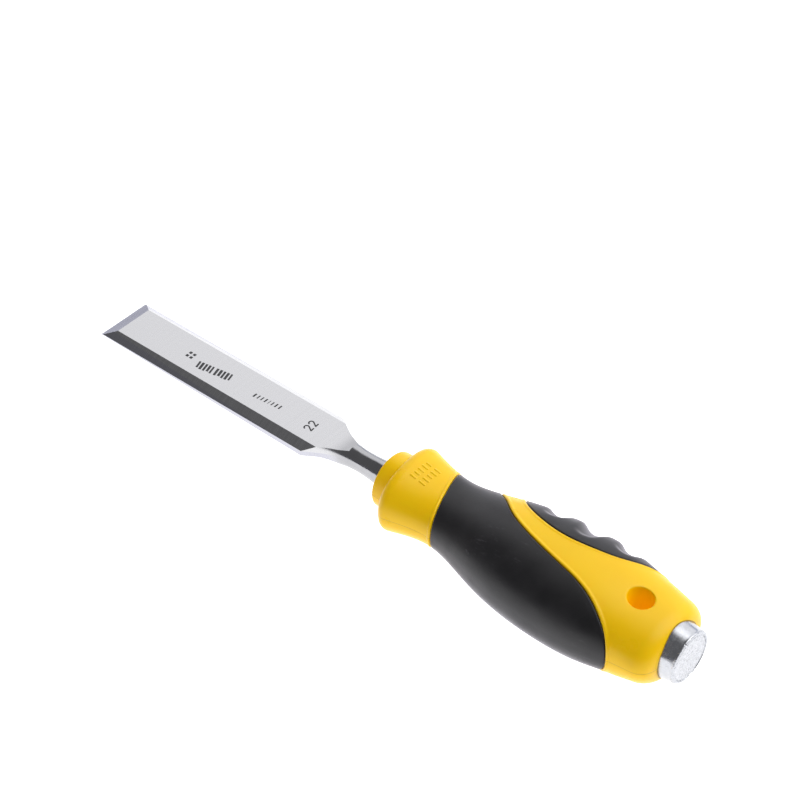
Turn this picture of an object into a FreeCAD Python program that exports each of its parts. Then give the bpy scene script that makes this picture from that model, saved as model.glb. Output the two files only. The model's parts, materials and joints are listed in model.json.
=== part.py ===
import FreeCAD, Part
import math
import os

# Bench chisel with a two-colour moulded handle and a steel striking cap. Millimetres.
# Origin: centre of the flat front face of the handle's nose, on the tool's axis.
# +X runs along the blade to the cutting edge, +Z comes out of the blade's bevelled
# face, and the +Y side of the handle lies in the palm. The fingers hold the -Y side.

V = FreeCAD.Vector

# Blade
BLADE_WIDTH = 22.0
TIP_X = 127.0
HEEL_X = 31.0
BACK_Z = -1.1
TIP_THICKNESS = 2.5
HEEL_THICKNESS = 4.1
CUTTING_ANGLE = 25.0
SIDE_BEVEL_WIDTH = 3.3
SIDE_BEVEL_DROP = 2.0
BEVEL_RUN_OUT = 12.0

# Neck: radius of the round forging at stations from the heel back to the handle
NECK_STATIONS = [(31.0, 11.05), (27.0, 8.3), (22.0, 5.7), (16.0, 4.3), (11.0, 4.1), (0.0, 4.95)]
FACET_FRONT_X = 20.5
FACET_REAR_X = 16.7
FACET_REAR_Z = 3.75
UNDERCUT = [(26.0, -1.1), (21.5, -2.1), (15.5, -4.9)]
CLEAR = 8.0
MARGIN = 1.0

# Tang, inside the handle
STOP_RADIUS = 7.2
STOP_FRONT_X = -4.0
STOP_REAR_X = -7.0
TANG_END_X = -86.0
TANG_ROOT_HALF = 3.9
TANG_TIP_HALF = 2.3
NOTCH_X = [-30.0, -58.0]
NOTCH_LENGTH = 5.0
NOTCH_DEPTH = 0.9

# Handle: half width at stations from the collar back to the butt, and its oval section.
# The section is |y|^p + |z / ratio|^p = radius^p: squarer along the grip, an ellipse at the butt.
OVAL = 0.71
GRIP_POWER = 2.4
BUTT_POWER = 2.0
GRIP_POWER_X = -105.0
BUTT_POWER_X = -117.0
SECTION_STEPS = 32
ROUNDING_ROWS = 10
SIDE_ROWS = 56
FLATNESS = 0.01
COLLAR_FACE_X = -5.4
COLLAR_RADIUS = 16.7
COLLAR_ROUNDING = 3.2
COLLAR_TURN = 110.0
COLLAR_SLANT = 0.10
SLANT_FRONT_X = -12.0
SLANT_REAR_X = -45.0
HANDLE_STATIONS = [
    (-17.0, 14.6),
    (-25.5, 13.5),
    (-37.0, 15.3),
    (-49.0, 18.5),
    (-61.0, 20.7),
    (-77.0, 21.7),
    (-93.0, 20.7),
    (-104.0, 18.5),
]
BUTT_FACE_X = -118.9
BUTT_RADIUS = 17.25
BUTT_ROUNDING = 6.5
BUTT_TURN = 97.0

# Nose and hidden core, the first shot of the moulding
NOSE_FRONT_RADIUS = 10.3
NOSE_BASE_RADIUS = 10.7
NOSE_BASE_X = -7.0
NOSE_ROUNDING = 0.8
CORE_STATIONS = [(-8.5, 10.2), (-25.0, 8.6), (-50.0, 11.2), (-72.0, 12.5), (-95.5, 11.0)]
RIB_X = [-52.0, -66.0, -80.0]
RIB_WIDTH = 3.0
RIB_RADIUS = 13.6

# Soft grip: depth of its seats, and its edges in plan view, as (x, y)
SLEEVE_DEPTH = 2.2
PAD_DEPTH = 3.4
SLEEVE_FRONT = [(-19.2, -14.6), (-24.2, 0.0), (-28.8, 14.6)]
SLEEVE_REAR = [
    (-107.0, 20.8),
    (-101.0, 15.9),
    (-96.2, 13.1),
    (-89.0, 9.8),
    (-73.8, 5.9),
    (-58.9, 1.5),
    (-47.3, -4.4),
    (-41.5, -9.1),
    (-38.5, -11.4),
    (-33.5, -19.0),
]
PAD_EDGE = [
    (-105.5, -21.0),
    (-100.4, -17.3),
    (-95.0, -13.2),
    (-89.2, -9.2),
    (-79.9, -6.2),
    (-70.3, -4.9),
    (-60.8, -6.0),
    (-52.5, -9.0),
    (-47.2, -12.9),
    (-43.5, -20.0),
]
OUTSIDE = 30.0

# Finger scoops in the pad: place along the handle, depth, and reach round it in degrees
SCOOPS = [(-58.0, 1.4, 48.0), (-72.5, 1.9, 56.0), (-87.2, 1.3, 46.0)]
SCOOP_RADIUS = 8.5
SCOOP_OVAL = 0.80

# Hang hole, through the butt along Z
HOLE_X = -103.6
HOLE_RADIUS = 4.5

# Steel striking cap, with a ribbed spigot pressed into the butt
CAP_FACE_X = -124.0
CAP_BASE_RADIUS = 10.2
CAP_RIM_RADIUS = 9.6
CAP_ROUNDING = 1.3
CAP_SEAT_DEPTH = 1.2
SPIGOT_END_X = -110.6
SPIGOT_RADIUS = 3.6
BARB_RISE = 0.5
BARB_COUNT = 3
BARB_PITCH = 2.4


def spline(points):
    """Smooth edge through points."""
    curve = Part.BSplineCurve()
    curve.interpolate(points)
    return curve.toShape()


def line(a, b):
    return Part.LineSegment(a, b).toShape()


def arc(a, b, c):
    return Part.Arc(a, b, c).toShape()


def round_point(centre, radius, degrees):
    """Point on an arc about a centre in the XY plane."""
    angle = math.radians(degrees)
    return centre + V(radius * math.cos(angle), radius * math.sin(angle), 0)


def spin(edges):
    """Solid of revolution about the tool's axis, from edges in the upper XY half plane."""
    profile = Part.Face(Part.Wire(Part.__sortEdges__(edges)))
    return profile.revolve(V(0, 0, 0), V(1, 0, 0), 360)


def flatten(shape, ratio):
    """Press a round shape oval."""
    press = FreeCAD.Matrix()
    press.scale(V(1, 1, ratio))
    return shape.transformGeometry(press)


def slant(x):
    """Forward lean of the handle's sections towards the finger side, fading out behind the collar."""
    share = (x - SLANT_REAR_X) / (SLANT_FRONT_X - SLANT_REAR_X)
    return COLLAR_SLANT * min(max(share, 0), 1)


def section_power(x):
    """How square the handle's section is at one station."""
    share = (x - GRIP_POWER_X) / (BUTT_POWER_X - GRIP_POWER_X)
    share = min(max(share, 0), 1)
    return GRIP_POWER + (BUTT_POWER - GRIP_POWER) * share ** 2 * (3 - 2 * share)


def section_row(place):
    """Points half way round the handle's section at one place on its side profile."""
    power = section_power(place.x)
    row = []
    for i in range(SECTION_STEPS + 1):
        angle = math.pi * i / SECTION_STEPS
        c, s = math.cos(angle), math.sin(angle)
        reach = (abs(c) ** power + s ** power) ** (-1 / power)
        y = place.y * reach * c
        row.append(V(place.x - slant(place.x) * y, y, place.y * reach * s))
    return row


def oval_solid(side):
    """Solid with the handle's section over a side profile, closed by flat ends."""
    skin = Part.BSplineSurface()
    skin.interpolate([section_row(place) for place in side])
    half = skin.toShape()
    faces = [half, half.mirror(V(0, 0, 0), V(0, 0, 1))]
    for rim in half.Edges:
        if rim.BoundBox.ZLength > FLATNESS:
            faces.append(Part.Face(Part.Wire([rim, rim.mirror(V(0, 0, 0), V(0, 0, 1))])))
    shell = Part.makeCompound(faces)
    shell.sewShape()
    return Part.Solid(shell.Shells[0])


def upright_prism(edges):
    """Prism along Z, through the whole handle, over a closed outline in plan view."""
    outline = Part.Face(Part.Wire(Part.__sortEdges__(edges)))
    outline.translate(V(0, 0, -OUTSIDE))
    return outline.extrude(V(0, 0, 2 * OUTSIDE))


def plan(points):
    return [V(x, y, 0) for x, y in points]


def side_profile():
    """Edges of the handle's side from the collar's face over the belly to the butt's face."""
    shoulder = V(COLLAR_FACE_X - COLLAR_ROUNDING, COLLAR_RADIUS - COLLAR_ROUNDING, 0)
    corner = V(BUTT_FACE_X + BUTT_ROUNDING, BUTT_RADIUS - BUTT_ROUNDING, 0)
    collar = [round_point(shoulder, COLLAR_ROUNDING, COLLAR_TURN * k / 2) for k in (0, 1, 2)]
    rear = (180 - BUTT_TURN) / 2
    butt = [round_point(corner, BUTT_ROUNDING, BUTT_TURN + rear * k) for k in (0, 1, 2)]
    side = spline([collar[2]] + plan(HANDLE_STATIONS) + [butt[0]])
    return arc(*collar), side, arc(*butt)


def handle_solid():
    """The handle's outer shape."""
    collar, side, butt = side_profile()
    rows = collar.discretize(Number=ROUNDING_ROWS)[:-1]
    rows += side.discretize(Number=SIDE_ROWS)[:-1]
    rows += butt.discretize(Number=ROUNDING_ROWS)
    return oval_solid(rows)


def seat_solid(depth):
    """What is left of the handle, collar to butt, when its side is cut back by a depth."""
    side = side_profile()[1].discretize(Number=SIDE_ROWS)
    return oval_solid([place - V(0, depth, 0) for place in side])


def sleeve_prism():
    front = plan(SLEEVE_FRONT)
    rear = plan(SLEEVE_REAR)
    return upright_prism([
        arc(front[0], front[1], front[2]),
        line(front[2], V(front[2].x, OUTSIDE, 0)),
        line(V(front[2].x, OUTSIDE, 0), V(rear[0].x, OUTSIDE, 0)),
        line(V(rear[0].x, OUTSIDE, 0), rear[0]),
        spline(rear),
        line(rear[-1], V(rear[-1].x, -OUTSIDE, 0)),
        line(V(rear[-1].x, -OUTSIDE, 0), V(front[0].x, -OUTSIDE, 0)),
        line(V(front[0].x, -OUTSIDE, 0), front[0]),
    ])


def pad_prism():
    edge = plan(PAD_EDGE)
    return upright_prism([
        spline(edge),
        line(edge[-1], V(edge[-1].x, -OUTSIDE, 0)),
        line(V(edge[-1].x, -OUTSIDE, 0), V(edge[0].x, -OUTSIDE, 0)),
        line(V(edge[0].x, -OUTSIDE, 0), edge[0]),
    ])


def handle_radius(x):
    """Half width of the handle, straight between its stations."""
    for (x1, r1), (x2, r2) in zip(HANDLE_STATIONS, HANDLE_STATIONS[1:]):
        if x2 <= x <= x1:
            return r1 + (r2 - r1) * (x1 - x) / (x1 - x2)
    return BUTT_RADIUS


def scoop(x, depth, reach):
    """Ring sector with ball ends that hollows the finger side of the round handle."""
    ring = handle_radius(x) - depth + SCOOP_RADIUS
    axis = V(1, 0, 0)
    start = V(x, -ring * math.cos(math.radians(reach)), -ring * math.sin(math.radians(reach)))
    end = V(start.x, start.y, -start.z)
    tangent = axis.cross(start - V(x, 0, 0))
    disc = Part.Face(Part.Wire(Part.Circle(start, tangent, SCOOP_RADIUS).toShape()))
    sector = disc.revolve(V(0, 0, 0), V(-1, 0, 0), 2 * reach)
    for ball_centre in (start, end):
        sector = sector.fuse(Part.makeSphere(SCOOP_RADIUS, ball_centre))
    return sector


def make_blade():
    """Blade, neck and tang, one forging."""
    half = BLADE_WIDTH / 2
    neck_line = [V(x, r, 0) for x, r in NECK_STATIONS]
    heel = V(HEEL_X, 0, 0)
    mouth = V(0, 0, 0)
    neck = spin([
        spline(neck_line),
        line(neck_line[0], heel),
        line(heel, mouth),
        line(mouth, neck_line[-1]),
    ])
    paddle = Part.makeBox(TIP_X - HEEL_X, BLADE_WIDTH, 2 * CLEAR, V(HEEL_X, -half, -CLEAR))
    blank = paddle.fuse(neck)

    tip_top_x = TIP_X - TIP_THICKNESS / math.tan(math.radians(CUTTING_ANGLE))
    tip_top_z = BACK_Z + TIP_THICKNESS
    taper = (HEEL_THICKNESS - TIP_THICKNESS) / (tip_top_x - HEEL_X)
    facet_z = tip_top_z + taper * (tip_top_x - FACET_FRONT_X)
    under = [V(x, -half - MARGIN, z) for x, z in UNDERCUT]
    outline = [
        V(under[2].x, -half - MARGIN, -CLEAR),
        V(-MARGIN, -half - MARGIN, -CLEAR),
        V(-MARGIN, -half - MARGIN, CLEAR),
        V(FACET_REAR_X, -half - MARGIN, CLEAR),
        V(FACET_REAR_X, -half - MARGIN, FACET_REAR_Z),
        V(FACET_FRONT_X, -half - MARGIN, facet_z),
        V(tip_top_x, -half - MARGIN, tip_top_z),
        V(TIP_X, -half - MARGIN, BACK_Z),
        under[0],
    ]
    edges = [line(a, b) for a, b in zip(outline, outline[1:])]
    edges.append(arc(under[0], under[1], under[2]))
    edges.append(line(under[2], outline[0]))
    side_view = Part.Face(Part.Wire(edges)).extrude(V(0, BLADE_WIDTH + 2 * MARGIN, 0))
    steel = blank.common(side_view)

    run = V(HEEL_X - BEVEL_RUN_OUT - TIP_X, 0, taper * (TIP_X + BEVEL_RUN_OUT - HEEL_X))
    edge_z = tip_top_z - taper * (TIP_X - tip_top_x)
    for side in (-1, 1):
        wedge = [
            V(TIP_X, side * (half - SIDE_BEVEL_WIDTH), edge_z),
            V(TIP_X, side * (half + SIDE_BEVEL_WIDTH), edge_z - 2 * SIDE_BEVEL_DROP),
            V(TIP_X, side * (half + SIDE_BEVEL_WIDTH), edge_z + CLEAR),
            V(TIP_X, side * (half - SIDE_BEVEL_WIDTH), edge_z + CLEAR),
        ]
        grind = Part.Face(Part.makePolygon(wedge + wedge[:1])).extrude(run)
        steel = steel.cut(grind)
    return steel.fuse(make_tang()).removeSplitter()


def make_tang():
    """Round root, stop flange and tapered square tang with locking notches."""
    root = Part.makeCylinder(NECK_STATIONS[-1][1], -STOP_REAR_X, V(0, 0, 0), V(-1, 0, 0))
    flange_length = STOP_FRONT_X - STOP_REAR_X
    flange = Part.makeCylinder(STOP_RADIUS, flange_length, V(STOP_FRONT_X, 0, 0), V(-1, 0, 0))
    squares = []
    for x, h in ((STOP_REAR_X, TANG_ROOT_HALF), (TANG_END_X, TANG_TIP_HALF)):
        corners = [V(x, h, h), V(x, -h, h), V(x, -h, -h), V(x, h, -h), V(x, h, h)]
        squares.append(Part.makePolygon(corners))
    tang = root.fuse(flange).fuse(Part.makeLoft(squares, True, True))
    for x in NOTCH_X:
        taper = (x - STOP_REAR_X) / (TANG_END_X - STOP_REAR_X)
        floor = TANG_ROOT_HALF + (TANG_TIP_HALF - TANG_ROOT_HALF) * taper - NOTCH_DEPTH
        for side in (-1, 1):
            low = floor if side > 0 else -floor - CLEAR
            corner = V(x - NOTCH_LENGTH / 2, low, -CLEAR)
            tang = tang.cut(Part.makeBox(NOTCH_LENGTH, CLEAR, 2 * CLEAR, corner))
    return tang


def round_stem():
    """Ribbed stem of the hard core, before it is pressed oval."""
    stem_line = [V(x, r, 0) for x, r in CORE_STATIONS]
    front = V(stem_line[0].x, 0, 0)
    rear = V(stem_line[-1].x, 0, 0)
    stem = spin([
        spline(stem_line),
        line(stem_line[-1], rear),
        line(rear, front),
        line(front, stem_line[0]),
    ])
    for x in RIB_X:
        stem = stem.fuse(Part.makeCylinder(RIB_RADIUS, RIB_WIDTH, V(x, 0, 0), V(-1, 0, 0)))
    return stem


def make_nose():
    """Round front end of the hard core, the part that shows."""
    base = V(NOSE_BASE_X, NOSE_BASE_RADIUS, 0)
    rim = V(-NOSE_ROUNDING, NOSE_FRONT_RADIUS, 0)
    centre = rim - V(0, NOSE_ROUNDING, 0)
    inner = CORE_STATIONS[0][0]
    return spin([
        line(V(inner, 0, 0), V(inner, NOSE_BASE_RADIUS, 0)),
        line(V(inner, NOSE_BASE_RADIUS, 0), base),
        line(base, rim),
        arc(rim, round_point(centre, NOSE_ROUNDING, 45), centre + V(NOSE_ROUNDING, 0, 0)),
        line(centre + V(NOSE_ROUNDING, 0, 0), V(0, 0, 0)),
        line(V(0, 0, 0), V(inner, 0, 0)),
    ])


def make_cap():
    """Round steel cap with a softened rim and a barbed spigot."""
    rim = V(CAP_FACE_X + CAP_ROUNDING, CAP_RIM_RADIUS, 0)
    centre = rim - V(0, CAP_ROUNDING, 0)
    face = centre - V(CAP_ROUNDING, 0, 0)
    seat = BUTT_FACE_X + CAP_SEAT_DEPTH
    base = V(seat, CAP_BASE_RADIUS, 0)
    head = spin([
        line(V(seat, 0, 0), base),
        line(base, rim),
        arc(rim, round_point(centre, CAP_ROUNDING, 135), face),
        line(face, V(CAP_FACE_X, 0, 0)),
        line(V(CAP_FACE_X, 0, 0), V(seat, 0, 0)),
    ])
    length = SPIGOT_END_X - BUTT_FACE_X
    spigot = Part.makeCylinder(SPIGOT_RADIUS, length, V(BUTT_FACE_X, 0, 0), V(1, 0, 0))
    for i in range(BARB_COUNT):
        start = V(SPIGOT_END_X - BARB_PITCH * (i + 1), 0, 0)
        wide = SPIGOT_RADIUS + BARB_RISE
        spigot = spigot.fuse(Part.makeCone(wide, SPIGOT_RADIUS, BARB_PITCH, start, V(1, 0, 0)))
    return head.fuse(spigot).removeSplitter()


def make_handle(stem, nose, cap):
    """The yellow body, the black sleeve and the black finger pad."""
    outer = handle_solid()
    sleeve = outer.common(sleeve_prism()).cut(seat_solid(SLEEVE_DEPTH))
    pad_seat = outer.common(pad_prism()).cut(seat_solid(PAD_DEPTH))
    body = flatten(outer.cut(sleeve).cut(pad_seat).cut(stem), OVAL)
    pad = flatten(pad_seat, OVAL)
    for x, depth, reach in SCOOPS:
        pad = pad.cut(flatten(scoop(x, depth, reach), SCOOP_OVAL))
    hole = Part.makeCylinder(HOLE_RADIUS, 2 * OUTSIDE, V(HOLE_X, 0, -OUTSIDE), V(0, 0, 1))
    body = body.cut(hole).cut(nose).cut(cap)
    return body, flatten(sleeve, OVAL), pad


os.makedirs("parts", exist_ok=True)
blade = make_blade()
stem = round_stem()
nose = make_nose()
cap = make_cap()
body, sleeve, pad = make_handle(stem, nose, cap)
core = flatten(stem, OVAL).fuse(nose).cut(blade)
nodes = {
    "blade": blade,
    "inner_core": core,
    "handle_body": body,
    "grip_sleeve": sleeve,
    "finger_pad": pad,
    "strike_cap": cap,
}
for name, shape in nodes.items():
    print(name, "solids", len(shape.Solids), "valid", shape.isValid(), "mm3", round(shape.Volume))
    shape.exportStep("parts/" + name + ".step")
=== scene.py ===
import json
import math

import bmesh
import bpy
import numpy as np
from mathutils import Matrix, Vector
from mathutils.geometry import delaunay_2d_cdt


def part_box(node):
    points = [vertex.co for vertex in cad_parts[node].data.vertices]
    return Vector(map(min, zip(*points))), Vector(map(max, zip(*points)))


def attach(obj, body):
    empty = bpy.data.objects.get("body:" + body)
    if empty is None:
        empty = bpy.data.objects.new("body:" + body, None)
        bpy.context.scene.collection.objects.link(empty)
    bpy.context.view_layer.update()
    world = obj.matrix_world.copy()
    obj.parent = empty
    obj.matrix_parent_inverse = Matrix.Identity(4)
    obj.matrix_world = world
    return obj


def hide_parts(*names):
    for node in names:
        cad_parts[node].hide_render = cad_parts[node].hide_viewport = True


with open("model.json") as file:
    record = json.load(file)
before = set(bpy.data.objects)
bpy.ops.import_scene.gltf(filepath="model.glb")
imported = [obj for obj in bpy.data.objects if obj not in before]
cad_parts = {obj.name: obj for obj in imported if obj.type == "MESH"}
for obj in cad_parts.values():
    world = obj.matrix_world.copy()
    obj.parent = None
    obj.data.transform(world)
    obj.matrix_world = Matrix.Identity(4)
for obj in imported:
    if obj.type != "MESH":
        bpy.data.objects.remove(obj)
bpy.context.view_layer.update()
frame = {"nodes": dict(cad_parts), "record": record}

# Bench chisel. Sizes in this script are millimetres until a mesh is made, and metres from there on.
# X runs along the tool to the cutting edge, Z comes out of the bevelled face, +Y is the palm side.

MM = 0.001


def node_box(node):
    """Low and high corner of a CAD node's box in millimetres."""
    low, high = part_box(node)
    return np.array(low) / MM, np.array(high) / MM


def mount_named(name):
    return next(m for m in frame["record"]["mounts"] if m["name"] == name)


BODY_LOW, BODY_HIGH = node_box("handle_body")
SLEEVE_HIGH = node_box("grip_sleeve")[1]
CAP_LOW, CAP_HIGH = node_box("strike_cap")
HOLE = mount_named("hang_hole")
HOLE_X = HOLE["pos_m"][0] / MM
HOLE_RADIUS = HOLE["dims"]["r_mm"]

# Handle: the same side profile as the frame's, hung from the frame's own boxes
BUTT_X = BODY_LOW[0]
BELLY = SLEEVE_HIGH[1]
OVAL = 0.71
GRIP_POWER = 2.4
BUTT_POWER = 2.0
GRIP_POWER_X = -105.0
BUTT_POWER_X = -117.0
COLLAR_RADIUS = 16.7
COLLAR_ROUNDING = 3.2
COLLAR_TURN = 110.0
COLLAR_SLANT = 0.10
SLANT_FRONT_X = -12.0
SLANT_REAR_X = -45.0
COLLAR_X = BODY_HIGH[0] - COLLAR_SLANT * (COLLAR_RADIUS - COLLAR_ROUNDING)
BUTT_RADIUS = 17.25
BUTT_ROUNDING = 6.5
BUTT_TURN = 97.0
BUTT_MARGIN = 0.5
NOSE_RADIUS = 10.0
CAP_SEAT_RADIUS = 9.0
STATIONS = [
    (-17.0, 14.6),
    (-25.5, 13.5),
    (-37.0, 15.3),
    (-49.0, 18.5),
    (-61.0, 20.7),
    (-77.0, BELLY),
    (-93.0, 20.7),
    (-104.0, 18.5),
]

# How the body's shell closes inside its ends, and the first full row of its butt
COLLAR_END_DEPTH = 2.0
COLLAR_END_RADIUS = 8.0
BUTT_END_DEPTH = 1.0
BUTT_END_RADIUS = 7.0
BUTT_BORDER = 2.0

# Edges of the soft panels in plan view
SLEEVE_FRONT_REACH = 1.6
SLEEVE_FRONT = [(-19.2, -14.6), (-24.2, 0.0), (-28.8, 14.6)]
SLEEVE_REAR = [
    (-107.0, 20.8),
    (-101.0, 15.9),
    (-96.2, 13.1),
    (-89.0, 9.8),
    (-73.8, 5.9),
    (-58.9, 1.5),
    (-47.3, -4.4),
    (-41.5, -9.1),
    (-38.5, -11.4),
    (-33.5, -19.0),
]
PAD_EDGE = [
    (-105.5, -21.0),
    (-100.4, -17.3),
    (-95.0, -13.2),
    (-89.2, -9.2),
    (-79.9, -6.2),
    (-70.3, -4.9),
    (-60.8, -6.0),
    (-52.5, -9.0),
    (-47.2, -12.9),
    (-43.5, -20.0),
]

# Finger scoops: place, depth, and reach round the pad in degrees
SCOOPS = [(-58.0, 1.4, 48.0), (-72.5, 1.9, 56.0), (-87.2, 1.3, 46.0)]
SCOOP_RADIUS = 8.5
SCOOP_OVAL = 0.80
SCOOP_SOFTNESS = 0.22

# Striking cap. Its face is a groove of (sink, distance in from the soft rim), then a dish of
# (sink, radius), and its hammered look fades out over CAP_FACE_FADE behind the face.
CAP_RADIUS = CAP_HIGH[1]
CAP_TAPER = 0.6
CAP_EDGE = 0.9
CAP_SEAT = 1.2
CAP_CHAMFER = 0.15
CAP_GROOVE = ((0.0, 0.25), (0.22, 0.4), (0.22, 0.6), (0.08, 0.8))
CAP_DISH = ((0.10, 5.0), (0.14, 2.5), (0.15, 0.0))
CAP_FACE_FADE = (0.15, 0.9)
CAP_SIDE_POINTS = 8
CAP_RIM_POINTS = 14
CAP_STEPS = 160
SPIGOT = 4.1

# Blade: its top face, for the marks that sit on it, and the fades between its kinds of grinding and its
# painted reflections
HEEL_X = 31.0
HEEL_TOP_Z = 3.0
TIP_TOP_X = 121.64
TIP_TOP_Z = 1.4
CUTTING_ANGLE = math.radians(25.0)
CUTTING_BEVEL_NORMAL = (math.sin(CUTTING_ANGLE), 0.0, math.cos(CUTTING_ANGLE))
CUTTING_BEVEL_X = (120.0, 120.5)
GROUND_X = (18.0, 24.0)
LAND_Z = (0.7, 1.0)

# Printed marks on the blade, each placed by x, y and its turn in degrees
MARK_SINK = 0.05
MARK_RISE = 0.012
STROKE_OVERLAP = 0.18
FIGURE_HEIGHT = 3.4
FIGURE_WIDTH = 0.52 * FIGURE_HEIGHT
FIGURE_STROKE = 0.155 * FIGURE_HEIGHT
FIGURE_FOOT = (0.06 * FIGURE_HEIGHT, 0.05 * FIGURE_HEIGHT)
FIGURE_BOWL_TURN = (165.0, -30.0)
FIGURE_BOWL_POINTS = 9
FIGURE_PITCH = 2.7
FIGURE_PLACE = (33.5, 2.9, -84.0)
BAR_WIDTHS = (0.8, 1.05, 0.85, 0.95, 0.75, 0.95, 1.05, 0.85, 1.0, 0.75)
BAR_SPACE = 0.52
BAR_HEIGHT = 3.7
BAR_LEAN = -0.12 * BAR_HEIGHT
SHORT_BAR_FOOT = 0.1 * BAR_HEIGHT
SHORT_EVERY = 3
WORD_BARS = 5
WORD_SPACE = 0.55
BAR_PLACE = (87.0, 4.4, 189.0)
EMBLEM_PLACE = (92.6, 0.5, 45.0)
EMBLEM_REACH = 1.3
EMBLEM_PETAL = 0.8
DASH_WIDTHS = (0.7, 0.5, 0.5, 0.6, 0.25, 0.5, 0.6, 0.6)
DASH_SPACE = 1.05
DASH_HEIGHT = 1.9
DASH_LEAN = 0.2
DASH_PLACE = (61.2, 2.6, 185.0)

# Raised bars on the collar: x and number of bars of each row
RAISED_ROWS = ((-12.6, 5), (-16.4, 5))
RAISED_PITCH = 2.0
RAISED_WIDTH = 0.9
RAISED_LENGTH = 2.6
RAISED_SHORT = 0.8
RAISED_Y = -0.6
RAISED_SINK = 0.3
RAISED_FOOT = 0.02
RAISED_RISE = 0.16
RAISED_INSET = 0.25

# Camera, with its place and sight in metres, and floor
CAMERA_RIGHT = (-0.7562, -0.6542, 0.0098)
CAMERA_UP = (0.4396, -0.4969, 0.7481)
CAMERA_PLACE = (-0.4280, 0.5015, 0.6214)
CAMERA_LENS = 122.8
CAMERA_FILM = 36.0
CAMERA_SIGHT = 10.0
FLOOR_GAP = 0.03
FLOOR_REACH = 3000.0
STEEPEST_FLOOR = 0.2

# Moulded edges, the seats of the soft panels, and the painted shadow line round the cap
GAP = 0.13
PLASTIC_EDGE = 0.6
BEAD_RISE = 0.18
BEAD_WIDTH = 0.9
RUBBER_EDGE = 0.4
HOLE_EDGE = 0.5
SLEEVE_SEAT = 1.7
PAD_SEAT = 3.2
SEAT_PLAY = 0.1
BORE_FADE = (0.02, 0.12)
CAP_SHADOW_FADE = (0.16, 0.40)
CAP_SHADOW_DEPTH = (1.5, 3.0)

# Fineness of the curves and meshes. Flat coordinates are (s, turn times FLAT_SCALE).
FLAT_SCALE = 0.9 * BELLY
ARC_POINTS = 120
CURVE_POINTS = 1600
END_POINTS = 20
PROFILE_POINTS = 4000
FRONT_POINTS = 800
HALF_TURN_STEPS = 132
TURN_STEP = 1e-4
RUN_STEP = 0.25
FINE = 0.75
PAD_FINE = 0.55
COARSE = 3.0
ROW_STRETCH = 1.1
EDGE_CLEARANCE = 0.6
SLEEVE_ROWS = 112
SLEEVE_FOOT_ROWS = 20
SLEEVE_SEAT_ROWS = 24
COLLAR_ROWS = 60
BUTT_ROWS = 40
BEAD_ROWS = 7
HOLE_STEPS = 72
HOLE_EDGE_ROWS = 8
HOLE_ROWS = 9


# ---------------------------------------------------------------- curves

def spline(points, count):
    """Natural cubic spline through points, spaced by chord length."""
    p = np.array(points, float)
    chord = np.linalg.norm(np.diff(p, axis=0), axis=1)
    t = np.concatenate([[0.0], np.cumsum(chord)])
    n = len(t)
    a = np.eye(n)
    b = np.zeros_like(p)
    for i in range(1, n - 1):
        a[i, i - 1] = chord[i - 1]
        a[i, i] = 2 * (chord[i - 1] + chord[i])
        a[i, i + 1] = chord[i]
        b[i] = 6 * ((p[i + 1] - p[i]) / chord[i] - (p[i] - p[i - 1]) / chord[i - 1])
    bend = np.linalg.solve(a, b)
    u = np.linspace(0, t[-1], count)
    k = np.clip(np.searchsorted(t, u, side="right") - 1, 0, n - 2)
    h = chord[k][:, None]
    f = (u - t[k])[:, None]
    g = h - f
    curve = (bend[k] * g ** 3 + bend[k + 1] * f ** 3) / (6 * h)
    curve += (p[k] / h - bend[k] * h / 6) * g
    curve += (p[k + 1] / h - bend[k + 1] * h / 6) * f
    return curve


def arc(centre, radius, start, end, count):
    """Points on a circle between two turns in degrees."""
    turn = np.radians(np.linspace(start, end, count))
    return np.stack([centre[0] + radius * np.cos(turn), centre[1] + radius * np.sin(turn)], 1)


def side_profile():
    """(x, radius) along the handle's side, from the nose over the collar and belly to the cap."""
    collar = (COLLAR_X - COLLAR_ROUNDING, COLLAR_RADIUS - COLLAR_ROUNDING)
    butt = (BUTT_X + BUTT_ROUNDING, BUTT_RADIUS - BUTT_ROUNDING)
    front = arc(collar, COLLAR_ROUNDING, 0, COLLAR_TURN, ARC_POINTS)
    rear = arc(butt, BUTT_ROUNDING, BUTT_TURN, 180, ARC_POINTS)
    side = spline([front[-1]] + STATIONS + [rear[0]], CURVE_POINTS)
    pieces = [
        np.linspace([COLLAR_X, NOSE_RADIUS], front[0], END_POINTS)[:-1],
        front[:-1],
        side[:-1],
        rear[:-1],
        np.linspace(rear[-1], [BUTT_X, CAP_SEAT_RADIUS], END_POINTS),
    ]
    return np.concatenate(pieces)


PROFILE = side_profile()
STEP = np.linalg.norm(np.diff(PROFILE, axis=0), axis=1)
ALONG = np.concatenate([[0.0], np.cumsum(STEP)])
EVEN = np.linspace(0, ALONG[-1], PROFILE_POINTS)
PROFILE_X = np.interp(EVEN, ALONG, PROFILE[:, 0])
PROFILE_R = np.interp(EVEN, ALONG, PROFILE[:, 1])


def along_at(x):
    """Distance along the side profile at a station between the collar and the butt."""
    side = (PROFILE_X < COLLAR_X - COLLAR_ROUNDING) & (PROFILE_X > BUTT_X + BUTT_MARGIN)
    return np.interp(-np.asarray(x, float), -PROFILE_X[side], EVEN[side])


def radius_at(x):
    """Half width of the handle at a station."""
    return np.interp(along_at(x), EVEN, PROFILE_R)


def power_at(x):
    """How square the section is at one station."""
    share = np.clip((x - GRIP_POWER_X) / (BUTT_POWER_X - GRIP_POWER_X), 0, 1)
    return GRIP_POWER + (BUTT_POWER - GRIP_POWER) * share ** 2 * (3 - 2 * share)


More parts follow.
